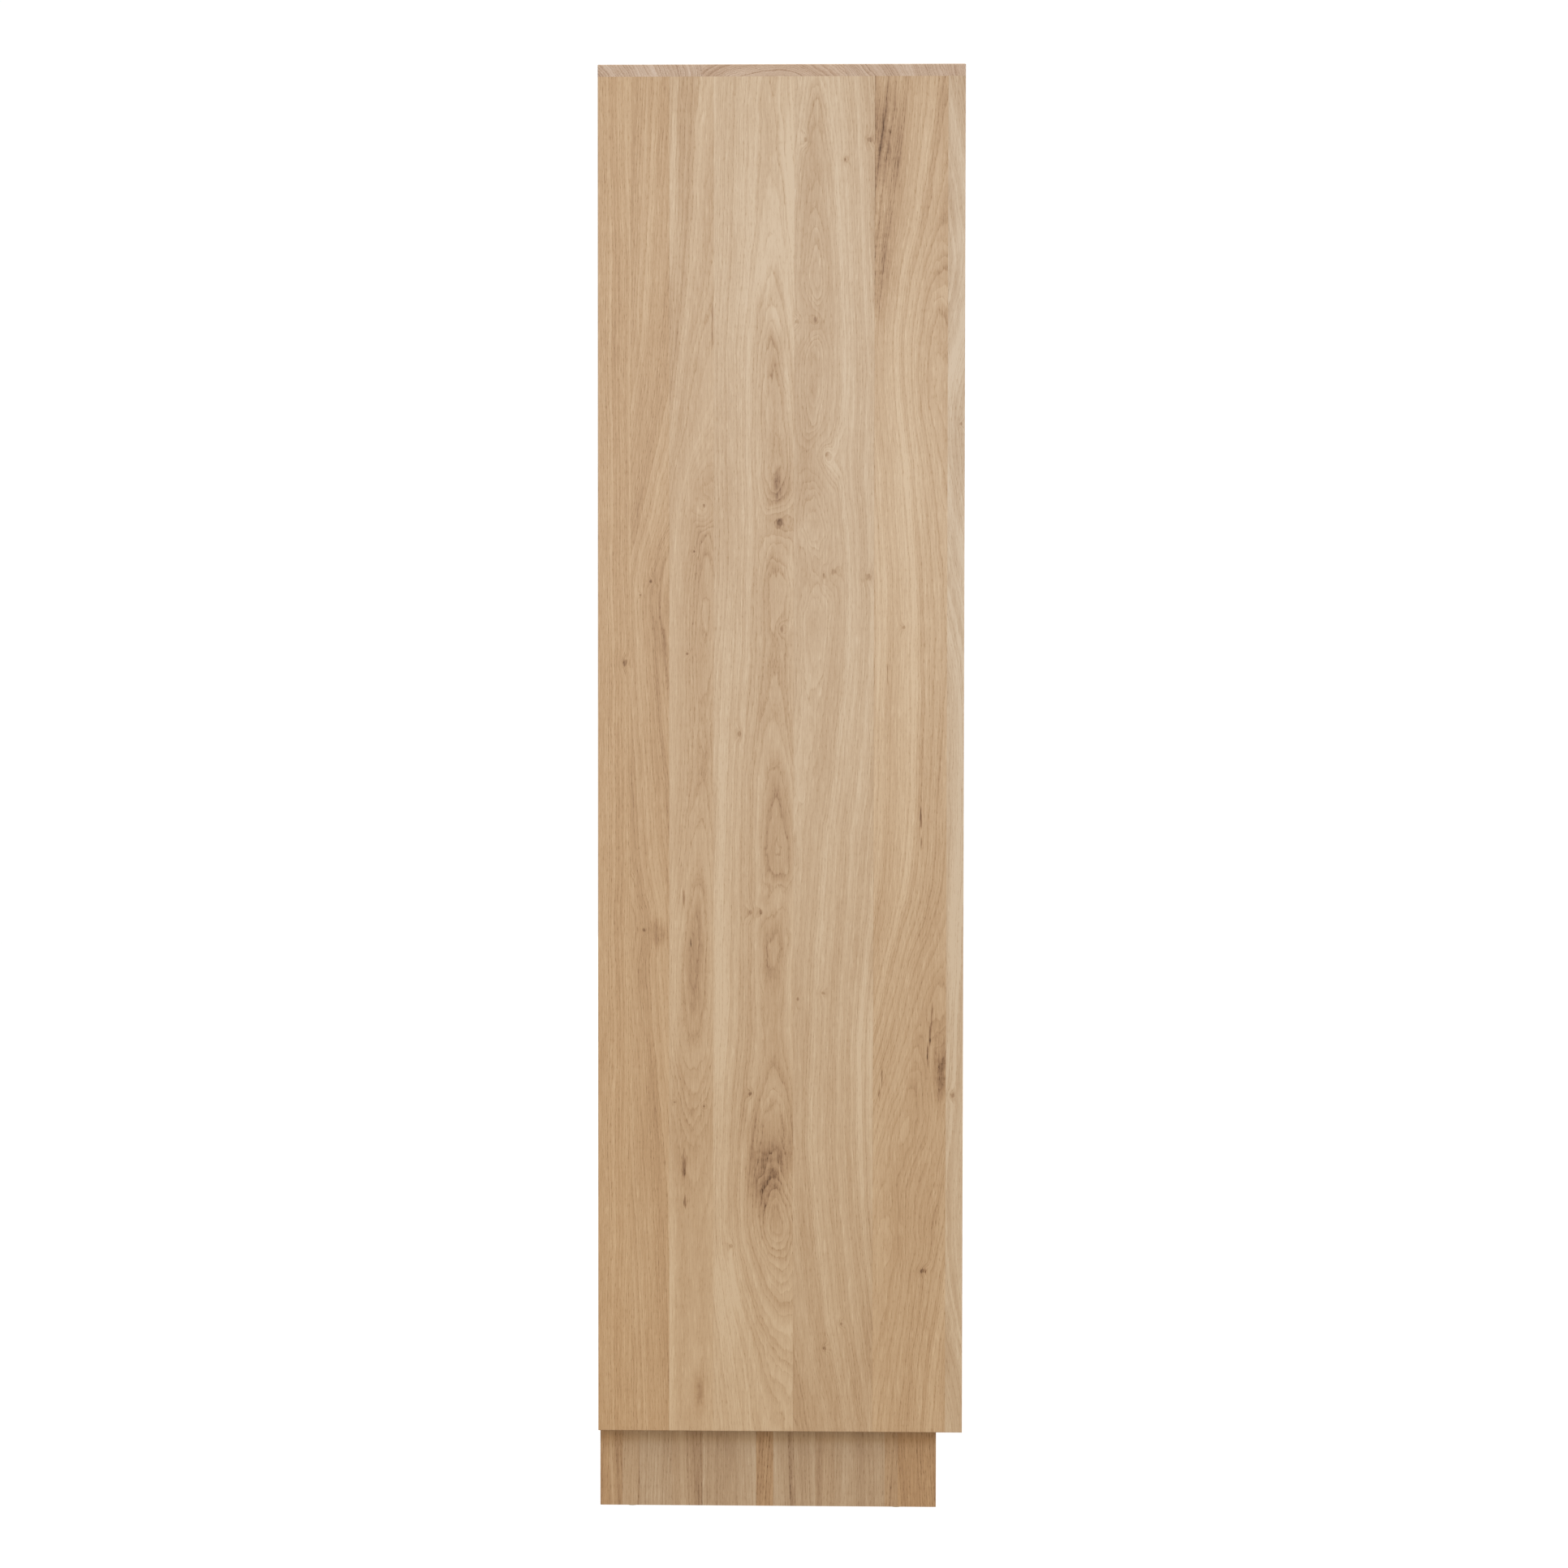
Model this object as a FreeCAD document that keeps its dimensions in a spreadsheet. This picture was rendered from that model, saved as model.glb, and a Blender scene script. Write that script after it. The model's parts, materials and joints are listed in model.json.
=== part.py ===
import FreeCAD, Part
import os
import re
from collections import defaultdict
import Sketcher
from FreeCAD import Placement, Rotation, Vector

# A tall free-standing pantry cabinet in solid oak. Two inset doors on pivot hinges stand over two
# inset drawers on ball-bearing runners. The carcass rests on a recessed plinth.
# Frame: +Z up, the front faces -Y, the origin is on the floor under the centre. Millimetres.

SIZES = {
    # carcass
    "overall_width": 1000,
    "overall_depth": 455,
    "overall_height": 1800,
    "board": 20,  # every solid oak board of the carcass, doors and drawer fronts
    "top_lap": 5,  # how far the sides are let into the underside of the top
    "arris": 0.8,  # softened edge of a board
    "front_gap": 3,  # gap all round each door and drawer front
    "drawer_bay": 200,  # clear height for the drawers, between the bottom and middle panels
    "divider_setback": 2,  # from the back of the drawer fronts to the divider
    # back panels
    "back_board": 8,
    "back_lap": 10,  # width of the rebate that the back panels sit in
    "back_inset": 1,  # from the cabinet's back to the back panels
    "back_gap": 0.5,
    # plinth
    "plinth_height": 100,  # floor to the underside of the carcass
    "toe_space": 32,
    "plinth_side_inset": 22,
    "plinth_back_inset": 1,
    "block_width": 35,
    "block_height": 40,
    "glide_plate": 1.2,
    "glide_radius": 7,
    "glide_stem_radius": 1.6,
    "glide_stem": 12,
    # fits
    "fit_gap": 0.05,  # round a peg, screw or leaf in its seat, and a pin in its bore
    "slip_gap": 0.25,
    # dowels
    "dowel_radius": 4,
    "dowel_short": 10,  # depth in the face of a board
    "dowel_long": 20,  # depth in the end of a board
    # shelves
    "shelf_first": 612,  # floor to the underside of the lowest shelf
    "shelf_pitch": 288,
    "shelf_side_gap": 2,
    "shelf_setback": 45,
    "shelf_back_gap": 3,
    "peg_pitch": 32,
    "peg_radius": 2.5,
    "peg_depth": 9,
    "peg_reach": 8,
    "peg_front": 90,  # from the front of the cabinet
    "peg_back": 60,  # from the back of the cabinet
    "collar_radius": 5,
    "collar_plate": 1.2,
    # grips cut into the fronts
    "grip_depth": 22,
    "door_grip_length": 160,
    "drawer_grip_length": 120,
    "door_grip_height": 1040,
    "grip_round": 1.6,
    # pivot hinges
    "pivot_inset": 24,  # from the door's edge to the pin
    "pin_radius": 3,
    "pin_reach": 13,
    "leaf_length": 60,
    "leaf_width": 12,
    "leaf_plate": 2.5,
    "leaf_overhang": 8,  # from the pin to the leaf's near end
    "leaf_screw_near": 18,
    "leaf_screw_far": 40,
    "washer_radius": 6,
    "washer_gap": 0.1,
    # battens across the back of each door
    "batten_start": 48,
    "batten_length": 382,
    "batten_width": 60,
    "batten_plate": 15,
    "batten_inset": 190,
    # magnetic catches
    "catch_start": 14,
    "catch_length": 46,
    "catch_depth": 18,
    "catch_height": 14,
    "magnet_length": 26,
    "magnet_depth": 10,
    "magnet_height": 8,
    "magnet_proud": 0.5,
    "strike_plate": 1.2,
    "strike_length": 44,
    "strike_height": 10,
    "strike_gap": 0.3,
    # anti-tip brackets
    "bracket_centre": 380,
    "bracket_width": 40,
    "bracket_reach": 30,
    "bracket_drop": 40,
    "bracket_plate": 2,
    "anchor_drop": 25,
    "anchor_radius": 2.75,
    "anchor_clear_radius": 4,
    # drawer boxes
    "box_side": 12,
    "box_base": 6,
    "box_height": 150,
    "box_lift": 25,  # from the bottom panel to the drawer box
    "box_depth": 380,
    "base_lift": 10,
    "groove": 6,
    "housing": 8,  # how far the box sides are let into the drawer front
    "back_housing": 5,
    # runners, across one 12.7 mm space
    "runner_space": 12.7,
    "runner_plate": 1.2,
    "runner_lift": 100,  # from the bottom panel to the runners' centre line
    "runner_length": 370,
    "runner_start": 5,  # from the back of the drawer front
    "middle_length": 340,
    "outer_lip": 9,
    "outer_half": 22.5,
    "middle_web": 2.2,
    "middle_lip": 9.8,
    "middle_half": 17.6,
    "inner_lip": 4.6,
    "inner_half": 12.7,
    # screws
    "head_radius": 3.5,
    "head_depth": 2,
    "shank_radius": 1.75,
    "recess_reach": 1.9,  # half the length of each arm of the cross
    "recess_width": 0.8,
    "recess_depth": 1.2,
}

# Levels and planes that several pieces share, as formulas of the sizes above.
INSIDE = "(overall_width/2 - board)"
FRONT = "(-overall_depth/2)"
DOOR_BACK = "(board - overall_depth/2)"
BACK = "(overall_depth/2)"
BACK_FACE = "(overall_depth/2 - back_board - back_inset)"
BAY_FLOOR = "(plinth_height + board)"
BAY_ROOF = "(plinth_height + board + drawer_bay)"
ROOM_FLOOR = "(plinth_height + 2*board + drawer_bay)"
ROOM_ROOF = "(overall_height - board)"
DOOR_BASE = "(plinth_height + 2*board + drawer_bay + front_gap)"
DOOR_TOP = "(overall_height - board - front_gap)"
FRONT_WIDTH = "(overall_width/2 - board - 1.5*front_gap)"
PIVOT_X = "(overall_width/2 - board - front_gap - pivot_inset)"
PIVOT_Y = "((board - overall_depth)/2)"
BOX_START = "(board/2 + runner_space)"
BOX_WIDTH = "(overall_width/2 - 1.5*board - 2*runner_space)"
BOX_BASE = "(plinth_height + board + box_lift)"

LEFT_RIGHT = {"left": -1, "right": 1}
SHELVES = 4
TOWARDS_X, TOWARDS_Y, UP = Vector(1, 0, 0), Vector(0, 1, 0), Vector(0, 0, 1)

# How a sketch names the ends of its lines, its origin and its axes.
START, END = 1, 2
ORIGIN, H_AXIS, V_AXIS = -1, -1, -2

doc = FreeCAD.newDocument("PantryCabinet")
sheet = doc.addObject("Spreadsheet::Sheet", "Dims")
for row, (alias, size) in enumerate(SIZES.items(), 1):
    sheet.set(f"A{row}", alias)
    sheet.set(f"B{row}", str(size))
    sheet.setAlias(f"B{row}", alias)
doc.recompute()

nodes = {}
voids = defaultdict(list)  # what is drilled, grooved or rebated out of each node
members = defaultdict(list)  # the separate solids of each node that is a group


# ---------------------------------------------------------------- formulas and primitives


def formula(text):
    """The text with every size name turned into a reference to its cell."""
    return re.sub(r"[a-z_]+", lambda word: "Dims." + word[0] if word[0] in SIZES else word[0], text)


def bind(item, **formulas):
    for name, text in formulas.items():
        item.setExpression(name, formula(text))
    return item


def place(item, spot, direction=None):
    """Puts the item's origin at the spot, with its own +Z along the direction."""
    if direction is not None:
        item.Placement = Placement(Vector(), Rotation(UP, direction))
    for axis, text in zip("xyz", spot):
        item.setExpression(f"Placement.Base.{axis}", formula(text))
    return item


def block(low, size, name="Block"):
    item = doc.addObject("Part::Box", name)
    bind(item, Length=size[0], Width=size[1], Height=size[2])
    return place(item, low)


def rod(spot, direction, radius, length, name="Rod"):
    item = doc.addObject("Part::Cylinder", name)
    bind(item, Radius=radius, Height=length)
    return place(item, spot, direction)


def fuse(*items, name="Fuse"):
    item = doc.addObject("Part::MultiFuse", name)
    item.Shapes = list(items)
    return item


def compound(items, name="Group"):
    item = doc.addObject("Part::Compound", name)
    item.Links = list(items)
    return item


def less(base, tools, name="Cut"):
    """The base with all the tools taken out of it."""
    if not tools:
        return base
    item = doc.addObject("Part::Cut", name)
    item.Base = base
    item.Tool = tools[0] if len(tools) == 1 else compound(tools, name + "_tools")
    return item


def grown(low, size):
    """A block's corner and size with the fit gap added on every side."""
    return [f"{text} - fit_gap" for text in low], [f"{text} + 2*fit_gap" for text in size]


def span(side, start, width):
    """The low X of a stretch that starts at start from the middle, on the left (-1) or right (1)."""
    return f"({start})" if side > 0 else f"(-({start}) - ({width}))"


def stack(way, start, height):
    """The low Z of a stretch that runs up (1) or down (-1) from start."""
    return f"({start})" if way > 0 else f"(({start}) - ({height}))"


def finish(name, item):
    """Takes the node's voids out of the item, and files the result as the node."""
    result = less(item, voids[name], name + "_shape")
    result.Label = name
    nodes[name] = result


def close_groups():
    for name, items in members.items():
        result = compound(items, name + "_group")
        result.Label = name
        nodes[name] = result


# ---------------------------------------------------------------- boards


def edges_on(shape, faces):
    """The names of the shape's edges that lie in all of the given faces of its box."""
    box = shape.BoundBox
    planes = {
        "left": ("XMin", "XMax", box.XMin),
        "right": ("XMin", "XMax", box.XMax),
        "front": ("YMin", "YMax", box.YMin),
        "back": ("YMin", "YMax", box.YMax),
        "bottom": ("ZMin", "ZMax", box.ZMin),
        "top": ("ZMin", "ZMax", box.ZMax),
    }
    tolerance = 1e-4
    found = []
    for number, edge in enumerate(shape.Edges, 1):
        limits = [planes[face] for face in faces]
        if all(
            abs(getattr(edge.BoundBox, low) - value) < tolerance
            and abs(getattr(edge.BoundBox, high) - value) < tolerance
            for low, high, value in limits
        ):
            found.append(f"Edge{number}")
    return found


def board_body(name, low, size):
    """A body that holds one board, with its low corner at the body's origin."""
    body = doc.addObject("PartDesign::Body", name + "_body")
    slab = body.newObject("PartDesign::AdditiveBox", name + "_slab")
    bind(slab, Length=size[0], Width=size[1], Height=size[2])
    place(body, low)
    return body


def soften(body, kind, size, *edge_sets):
    """Takes the arris off the edges in each of the edge sets."""
    doc.recompute()
    tip = body.Tip
    names = []
    for faces in edge_sets:
        names += [edge for edge in edges_on(tip.Shape, faces) if edge not in names]
    feature = body.newObject(f"PartDesign::{kind}", f"{body.Name}_edges")
    feature.Base = (tip, names)
    bind(feature, **{"Radius" if kind == "Fillet" else "Size": size})
    return body


def board(name, low, size, *edge_sets):
    body = board_body(name, low, size)
    if edge_sets:
        soften(body, "Chamfer", "arris", *edge_sets)
    finish(name, body)


def profile_body(name, plane, corners, feature_kind, **settings):
    """A body made from one closed profile. Each corner is a pair of formulas, none below zero."""
    body = doc.addObject("PartDesign::Body", name + "_body")
    sketch = body.newObject("Sketcher::SketchObject", name + "_profile")
    origin_plane = next(f for f in body.Origin.OriginFeatures if f.Role == plane)
    sketch.AttachmentSupport = [(origin_plane, "")]
    sketch.MapMode = "FlatFace"
    points = [Vector(number(x), number(y), 0) for x, y in corners]
    count = len(points)
    for i in range(count):
        sketch.addGeometry(Part.LineSegment(points[i], points[(i + 1) % count]))
    for i in range(count):
        sketch.addConstraint(Sketcher.Constraint("Coincident", i, END, (i + 1) % count, START))
    for i, corner in enumerate(corners):
        for text, kind, axis in zip(corner, ("DistanceX", "DistanceY"), (V_AXIS, H_AXIS)):
            if number(text) == 0:
                sketch.addConstraint(Sketcher.Constraint("PointOnObject", i, START, axis))
            else:
                index = sketch.addConstraint(
                    Sketcher.Constraint(kind, ORIGIN, START, i, START, number(text))
                )
                sketch.setExpression(f"Constraints[{index}]", formula(text))
    feature = body.newObject(f"PartDesign::{feature_kind}", name + "_solid")
    feature.Profile = sketch
    if feature_kind == "Revolution":
        feature.ReferenceAxis = (sketch, ["V_Axis"])
    bind(feature, **settings)
    return body


def number(text):
    """The value of a formula that is a sum or difference of size names and plain numbers."""
    total = 0
    for sign, word in re.findall(r"([+-]?)\s*([\w.]+)", text):
        value = SIZES[word] if word in SIZES else float(word)
        total += -value if sign == "-" else value
    return total


# ---------------------------------------------------------------- fasteners


def dowel(spot, direction, length, *boards):
    members["carcass_dowels"].append(rod(spot, direction, "dowel_radius - fit_gap", length, "Dowel"))
    hole = rod(spot, direction, "dowel_radius", length, "DowelHole")
    for name in boards:
        voids[name].append(hole)


def countersunk(spot, direction, length, gap):
    """A countersunk screw, or the hole for one where gap is more than nothing."""
    head = doc.addObject("Part::Cone", "Head")
    bind(head, Radius1=f"head_radius + {gap}", Radius2=f"shank_radius + {gap}", Height="head_depth")
    place(head, spot, direction)
    return fuse(head, rod(spot, direction, f"shank_radius + {gap}", length, "Shank"), name="Screw")


def cross_recess(spot, direction):
    """The cross in a screw's head, as two bars across each other."""
    bars = []
    for half_x, half_y in (("recess_reach", "recess_width/2"), ("recess_width/2", "recess_reach")):
        bar = doc.addObject("Part::Wedge", "RecessBar")
        bind(bar, Xmin=f"-{half_x}", Xmax=half_x, X2min=f"-{half_x}", X2max=half_x)
        bind(bar, Ymin=f"-{half_y}", Ymax=half_y)
        bind(bar, Zmin="0", Zmax="recess_depth", Z2min="0", Z2max="recess_depth")
        bars.append(place(bar, spot, direction))
    return fuse(*bars, name="Recess")


def screw(group, spot, direction, length, *boards):
    """A screw with its head's face at the spot, driven along the direction through the boards."""
    solid = countersunk(spot, direction, length, "0")
    members[group].append(less(solid, [cross_recess(spot, direction)], "DrivenScrew"))
    hole = countersunk(spot, direction, length, "fit_gap")
    for name in boards:
        voids[name].append(hole)


def make_dowels():
    rows = [f"{share}*overall_depth" for share in (-0.38, -0.13, 0.13, 0.38)]
    length = "dowel_short + dowel_long"
    for side_name, side in LEFT_RIGHT.items():
        panel = f"side_panel_{side_name}"
        inwards = TOWARDS_X * -side
        for y in rows:
            for name, level in (("bottom_panel", "plinth_height"), ("middle_panel", BAY_ROOF)):
                spot = (f"{side}*({INSIDE} + dowel_short)", y, f"{level} + board/2")
                dowel(spot, inwards, length, panel, name)
            low = f"{ROOM_ROOF} + top_lap - dowel_long"
            dowel((f"{side}*(overall_width - board)/2", y, low), UP, length, panel, "top_panel")
    for y in rows[:3]:
        dowel(("0", y, f"{BAY_FLOOR} - dowel_short"), UP, length, "bottom_panel", "drawer_divider")
        low = f"{BAY_ROOF} - dowel_long"
        dowel(("0", y, low), UP, length, "middle_panel", "drawer_divider")


# ---------------------------------------------------------------- doors and their hinges


def rounded_plate(side, low_z, gap):
    """A hinge leaf with round ends, or its seat where gap is more than nothing."""
    far, near = "leaf_length - leaf_overhang - leaf_width/2", "leaf_overhang - leaf_width/2"
    length = "leaf_length - leaf_width"
    low_x = span(side, f"{PIVOT_X} - ({far})", length)
    middle = block(
        (low_x, f"{PIVOT_Y} - leaf_width/2 - {gap}", low_z),
        (length, f"leaf_width + 2*{gap}", "leaf_plate"),
    )
    ends = [
        rod((f"{side}*({PIVOT_X} {offset})", PIVOT_Y, low_z), UP, f"leaf_width/2 + {gap}", "leaf_plate")
        for offset in (f"- ({far})", f"+ ({near})")
    ]
    return fuse(middle, *ends, name="Leaf")


def hinge(side_name, side, way):
    """One pivot hinge: way is 1 at the top of the door and -1 at its foot."""
    door = f"door_{side_name}"
    case_board, face, door_end = (
        ("top_panel", ROOM_ROOF, DOOR_TOP) if way > 0 else ("middle_panel", ROOM_FLOOR, DOOR_BASE)
    )
    pivot = f"{side}*{PIVOT_X}"
    tail = f"{face} {'+' if way > 0 else '-'} leaf_plate"
    case_leaf_z = stack(way, face, "leaf_plate")
    door_leaf_z = stack(-way, door_end, "leaf_plate")
    pin_length = "leaf_plate + front_gap + pin_reach"
    away = UP * -way

    # The pin is fixed in the carcass leaf and turns in the door leaf.
    pin_spot = (pivot, PIVOT_Y, tail)
    members["hinge_pins"].append(rod(pin_spot, away, "pin_radius", pin_length, "Pin"))
    bore = rod(pin_spot, away, "pin_radius + fit_gap", pin_length, "PinBore")
    voids[f"{door}_panel"].append(
        rod(pin_spot, away, "pin_radius + slip_gap", f"{pin_length} + 1", "PinRoom")
    )

    ring = rod(
        (pivot, PIVOT_Y, f"{face} - {way}*washer_gap"), away, "washer_radius", "front_gap - 2*washer_gap"
    )
    members["hinge_washers"].append(less(ring, [bore], "Washer"))

    for group, low_z, owner, spot_z, into, length in (
        (f"hinge_leaves_{side_name}", case_leaf_z, case_board, face, UP * way, "16"),
        (f"{door}_hinge_leaves", door_leaf_z, f"{door}_panel", door_end, away, "22"),
    ):
        screws = f"{door}_screws" if owner.startswith("door") else "hardware_screws"
        seat = group + "_holes"
        for along in ("leaf_screw_near", "leaf_screw_far"):
            spot = (f"{side}*({PIVOT_X} - {along})", PIVOT_Y, spot_z)
            screw(screws, spot, into, length, owner, seat)
        holes = voids[seat][-2:]
        members[group].append(less(rounded_plate(side, low_z, "0"), [bore, *holes], "DrilledLeaf"))
        voids[owner].append(rounded_plate(side, low_z, "fit_gap"))


def grip_tools(body, name, centre, along_x, length):
    """Cuts a finger grip with round ends into an edge of a front, through its thickness."""
    reach, through = "2*grip_depth", "board + 2"
    straight = f"{length} - {reach}"
    x, z = centre
    low_x = f"{x} - ({straight})/2" if along_x else f"{x} - grip_depth"
    low_z = f"{z} - grip_depth" if along_x else f"{z} - ({straight})/2"
    size = (straight, through, reach) if along_x else (reach, through, straight)
    middle = body.newObject("PartDesign::SubtractiveBox", name + "_grip")
    bind(middle, Length=size[0], Width=size[1], Height=size[2])
    place(middle, (low_x, "-1", low_z))
    for i, sign in enumerate("+-"):
        end = body.newObject("PartDesign::SubtractiveCylinder", f"{name}_grip_end_{i}")
        bind(end, Radius="grip_depth", Height=through)
        shift = f"{sign} ({straight})/2"
        end_x, end_z = (f"{x} {shift}", z) if along_x else (x, f"{z} {shift}")
        place(end, (end_x, "-1", end_z), TOWARDS_Y)


def make_door(side_name, side):
    door = f"door_{side_name}"
    for way in (1, -1):
        hinge(side_name, side, way)

    # Two battens across the back keep the door flat.
    for low_z in (f"{DOOR_BASE} + batten_inset", f"{DOOR_TOP} - batten_inset - batten_width"):
        body = board_body(
            door + "_batten",
            (span(side, "batten_start", "batten_length"), DOOR_BACK, low_z),
            ("batten_length", "batten_plate", "batten_width"),
        )
        soften(body, "Chamfer", "2*arris", ("back",))
        holes = f"{door}_batten_holes"
        for share in (0.1, 0.5, 0.9):
            spot = (
                f"{side}*(batten_start + {share}*batten_length)",
                f"{DOOR_BACK} + batten_plate",
                f"{low_z} + batten_width/2",
            )
            screw(f"{door}_screws", spot, TOWARDS_Y * -1, "28", f"{door}_panel", holes)
        members[f"{door}_battens"].append(less(body, voids[holes][-3:], "DrilledBatten"))

    # The steel strike plate that meets the magnetic catch.
    strike_x = "catch_start + (catch_length - strike_length)/2"
    strike_z = f"{DOOR_TOP} - {SIZES['magnet_proud']} - strike_height"
    plate_name = f"{door}_strike_plate"
    for share in (0.1, 0.9):
        spot = (
            f"{side}*({strike_x} + {share}*strike_length)",
            f"{DOOR_BACK} + strike_plate",
            f"{strike_z} + strike_height/2",
        )
        screw(f"{door}_screws", spot, TOWARDS_Y * -1, "13", f"{door}_panel", plate_name)
    plate = block(
        (span(side, strike_x, "strike_length"), DOOR_BACK, strike_z),
        ("strike_length", "strike_plate", "strike_height"),
    )
    finish(plate_name, plate)

    name = f"{door}_panel"
    height = "overall_height - plinth_height - 3*board - drawer_bay - 2*front_gap"
    low = (span(side, "front_gap/2", FRONT_WIDTH), FRONT, DOOR_BASE)
    body = board_body(name, low, (FRONT_WIDTH, "board", height))
    edge_x = FRONT_WIDTH if side < 0 else "0"
    grip_tools(body, name, (edge_x, f"door_grip_height - {DOOR_BASE}"), False, "door_grip_length")
    soften(body, "Fillet", "grip_round", ("front",))
    soften(body, "Chamfer", "arris", ("back",))
    finish(name, body)


def make_catches():
    face_y = f"({DOOR_BACK} + strike_plate + strike_gap + magnet_proud)"
    low_z = f"({ROOM_ROOF} - catch_height)"
    for side_name, side in LEFT_RIGHT.items():
        name = f"catch_{side_name}"
        for share in (0.1, 0.9):
            spot = (
                f"{side}*(catch_start + {share}*catch_length)",
                f"{face_y} + catch_depth/2",
                low_z,
            )
            screw("hardware_screws", spot, UP, "catch_height + 12", name, "top_panel")
        magnet_low = (
            span(side, "catch_start + (catch_length - magnet_length)/2", "magnet_length"),
            f"{face_y} - magnet_proud",
            f"{low_z} + (catch_height - magnet_height)/2",
        )
        magnet_size = ("magnet_length", "magnet_depth", "magnet_height")
        members["catch_magnets"].append(block(magnet_low, magnet_size, "Magnet"))
        voids[name].append(block(*grown(magnet_low, magnet_size), "MagnetSeat"))
        housing = board_body(
            name,
            (span(side, "catch_start", "catch_length"), face_y, low_z),
            ("catch_length", "catch_depth", "catch_height"),
        )
        soften(housing, "Fillet", "2*arris", ("bottom", "front"), ("bottom", "back"))
        finish(name, housing)


# ---------------------------------------------------------------- drawers and their runners


def channel(name, faces_right, wall_x, start_y, length, web, lip, half, opens_to_wall):
    """One folded steel member of a runner, with its open side to the wall or to the drawer."""
    height = f"{half} + {half}"
    inner, outer = (lip, web) if opens_to_wall else (web, lip)
    back, lips = f"{outer} - {inner}", "runner_plate"
    if opens_to_wall:
        corners = [
            ("0", "0"), (back, "0"), (back, height), ("0", height),
            ("0", f"{height} - {lips}"), (f"{back} - {lips}", f"{height} - {lips}"),
            (f"{back} - {lips}", lips), ("0", lips),
        ]
    else:
        corners = [
            ("0", "0"), (back, "0"), (back, lips), (lips, lips),
            (lips, f"{height} - {lips}"), (back, f"{height} - {lips}"),
            (back, height), ("0", height),
        ]
    body = profile_body(name, "XZ_Plane", corners, "Pad", Length=length)
    body.Tip.Reversed = True
    low_z = f"{BAY_FLOOR} + runner_lift - {half}"
    if faces_right:
        return place(body, (f"{wall_x} + {inner}", start_y, low_z))
    body.Placement = Placement(Vector(), Rotation(UP, 180))
    return place(body, (f"{wall_x} - ({inner})", f"{start_y} + {length}", low_z))


def make_runners(side_name, side):
    """The two runners of one drawer, one on the side panel and one on the drawer divider."""
    drawer = f"drawer_{side_name}"
    start_y = f"{DOOR_BACK} + runner_start"
    centre_z = f"{BAY_FLOOR} + runner_lift"
    walls = (
        (f"side_panel_{side_name}", f"{side}*{INSIDE}", side < 0),
        ("drawer_divider", f"{side}*board/2", side > 0),
    )
    for wall, wall_x, faces_right in walls:
        out = 1 if faces_right else -1
        towards_wall = TOWARDS_X * -out
        # Screws into the divider from its two sides are staggered, so that they miss each other.
        shares = (0.12, 0.5, 0.9) if side < 0 else (0.2, 0.58, 0.98)
        outer_holes, inner_holes = f"{drawer}_{wall}_outer_holes", f"{drawer}_{wall}_inner_holes"
        for share in shares:
            y = f"{start_y} + {share}*(runner_length - 10)"
            spot = (f"{wall_x} + {out}*runner_plate", y, centre_z)
            screw("runner_screws", spot, towards_wall, "10", wall, outer_holes)
            spot = (f"{wall_x} + {out}*(runner_space - runner_plate)", y, centre_z)
            screw(f"{drawer}_screws", spot, TOWARDS_X * out, "10", f"{drawer}_sides", inner_holes)
        common = (faces_right, wall_x, start_y)
        outer = channel(
            "outer", *common, "runner_length", "0", "outer_lip", "outer_half", False
        )
        middle = channel(
            "middle", *common, "middle_length", "middle_web", "middle_lip", "middle_half", False
        )
        inner = channel(
            "inner", *common, "runner_length", "runner_space", "inner_lip", "inner_half", True
        )
        members[f"runner_outer_{side_name}"].append(less(outer, voids[outer_holes], "OuterMember"))
        members[f"runner_middle_{side_name}"].append(middle)
        members[f"{drawer}_runner_members"].append(less(inner, voids[inner_holes], "InnerMember"))


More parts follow.
